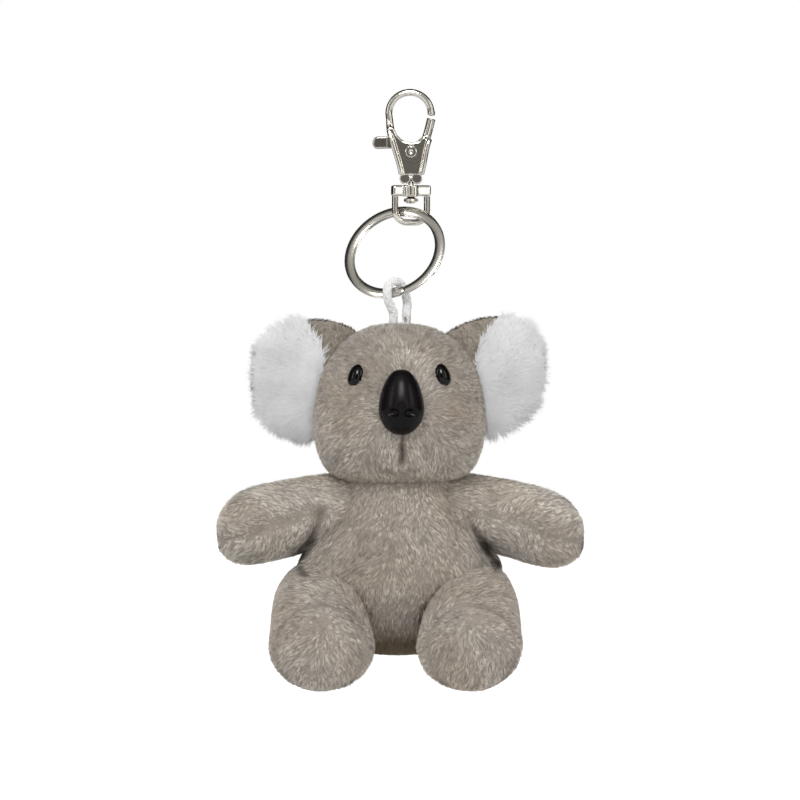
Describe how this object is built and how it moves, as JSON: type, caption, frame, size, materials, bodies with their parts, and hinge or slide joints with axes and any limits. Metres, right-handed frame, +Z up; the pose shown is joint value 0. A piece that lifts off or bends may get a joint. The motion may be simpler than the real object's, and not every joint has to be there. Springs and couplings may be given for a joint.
{
  "type": "plush koala",
  "caption": "Small grey plush koala with white-fronted ears, black eyes and nose, hung from a swivel snap clasp by a split ring and a short white cord loop.",
  "frame": {"origin": "inner top of the clasp's hook eye, where it hangs", "axes": "+Z up along the hanging koala, its face towards -Y, its left side towards +X"},
  "size_m": [0.104, 0.058, 0.1719],
  "materials": {
    "clasp_nickel": "polished nickel plate, a little worn",
    "ring_nickel": "bright nickel-plated flat wire",
    "gate_metal": "dark grey plated lever with bright worn edges",
    "spring_steel": "bare spring wire",
    "cord_knit": "soft white knitted cord",
    "plush_grey": "short taupe grey pile with lighter and darker tips",
    "ear_fur": "longer fluffy white fur",
    "stuffing_fibre": "white polyester fibre",
    "eye_black": "polished black dome",
    "nose_black": "black, softly glossy",
    "washer_plastic": "plain moulded lock washer"
  },
  "bodies": {
    "hook": {"hook_body": "clasp_nickel", "gate_pin": "clasp_nickel", "swivel_post": "clasp_nickel"},
    "gate": {"gate_lever": "gate_metal", "gate_spring": "spring_steel"},
    "stirrup": {"swivel_stirrup": "clasp_nickel"},
    "ring": {"split_ring": "ring_nickel"},
    "cord": {"cord_loop": "cord_knit"},
    "head": {"cord_knot": "cord_knit", "head_skin": "plush_grey", "head_stuffing": "stuffing_fibre", "eye_left": "eye_black", "eye_right": "eye_black", "eye_washer_left": "washer_plastic", "eye_washer_right": "washer_plastic", "nose": "nose_black", "nose_washer": "washer_plastic"},
    "torso": {"torso_skin": "plush_grey", "torso_stuffing": "stuffing_fibre"},
    "ear_left": {"ear_back_left": "plush_grey", "ear_front_left": "ear_fur"},
    "ear_right": {"ear_back_right": "plush_grey", "ear_front_right": "ear_fur"},
    "arm_left": {"arm_left_skin": "plush_grey", "arm_left_stuffing": "stuffing_fibre"},
    "arm_right": {"arm_right_skin": "plush_grey", "arm_right_stuffing": "stuffing_fibre"},
    "leg_left": {"leg_left_skin": "plush_grey", "leg_left_stuffing": "stuffing_fibre", "sole_left": "plush_grey"},
    "leg_right": {"leg_right_skin": "plush_grey", "leg_right_stuffing": "stuffing_fibre", "sole_right": "plush_grey"}
  },
  "joints": [
    {"name": "gate", "type": "hinge", "parent": "hook", "child": "gate", "pos_m": [0, 0, -0.016], "axis": [0, -1, 0], "range_deg": [0, 25], "stiffness_Nm_per_rad": 0.005, "springref_deg": -28.65},
    {"name": "hook_swivel", "type": "hinge", "parent": "hook", "child": "stirrup", "pos_m": [0, 0, -0.0255], "axis": [0, 0, 1], "continuous": true},
    {"name": "ring_swing", "type": "hinge", "parent": "stirrup", "child": "ring", "pos_m": [0, 0, -0.03615], "axis": [0.9703, 0.2419, 0], "range_deg": [-25, 10]},
    {"name": "cord_swing", "type": "hinge", "parent": "ring", "child": "cord", "pos_m": [-0.00464, -0.012, -0.05651], "axis": [0.9414, -0.2877, 0.1759], "range_deg": [-25, 25]},
    {"name": "head_sway", "type": "hinge", "parent": "cord", "child": "head", "pos_m": [-0.00326, -0.012, -0.0645], "axis": [0, 1, 0], "range_deg": [-8, 8], "deforming": ["cord_loop"]},
    {"name": "neck_nod", "type": "hinge", "parent": "head", "child": "torso", "pos_m": [-0.00326, -0.012, -0.1097], "axis": [1, 0, 0], "range_deg": [-8, 8], "stiffness_Nm_per_rad": 0.06},
    {"name": "ear_left_flap", "type": "hinge", "parent": "head", "child": "ear_left", "pos_m": [0.01644, -0.0085, -0.08355], "axis": [-0.2957, 0, 0.9553], "range_deg": [-10, 10], "stiffness_Nm_per_rad": 0.01},
    {"name": "ear_right_flap", "type": "hinge", "parent": "head", "child": "ear_right", "pos_m": [-0.02296, -0.0085, -0.08355], "axis": [0.2957, 0, 0.9553], "range_deg": [-10, 10], "stiffness_Nm_per_rad": 0.01},
    {"name": "arm_left_lift", "type": "hinge", "parent": "torso", "child": "arm_left", "pos_m": [0.01726, -0.0085, -0.11812], "axis": [0, -1, 0], "range_deg": [-4, 10], "stiffness_Nm_per_rad": 0.03},
    {"name": "arm_right_lift", "type": "hinge", "parent": "torso", "child": "arm_right", "pos_m": [-0.02378, -0.0085, -0.11802], "axis": [0, 1, 0], "range_deg": [-4, 10], "stiffness_Nm_per_rad": 0.03},
    {"name": "leg_left_lift", "type": "hinge", "parent": "torso", "child": "leg_left", "pos_m": [0.01734, -0.0175, -0.1462], "axis": [-1, 0, 0], "range_deg": [-6, 10], "stiffness_Nm_per_rad": 0.08},
    {"name": "leg_right_lift", "type": "hinge", "parent": "torso", "child": "leg_right", "pos_m": [-0.02386, -0.0175, -0.1462], "axis": [-1, 0, 0], "range_deg": [-6, 10], "stiffness_Nm_per_rad": 0.08}
  ]
}
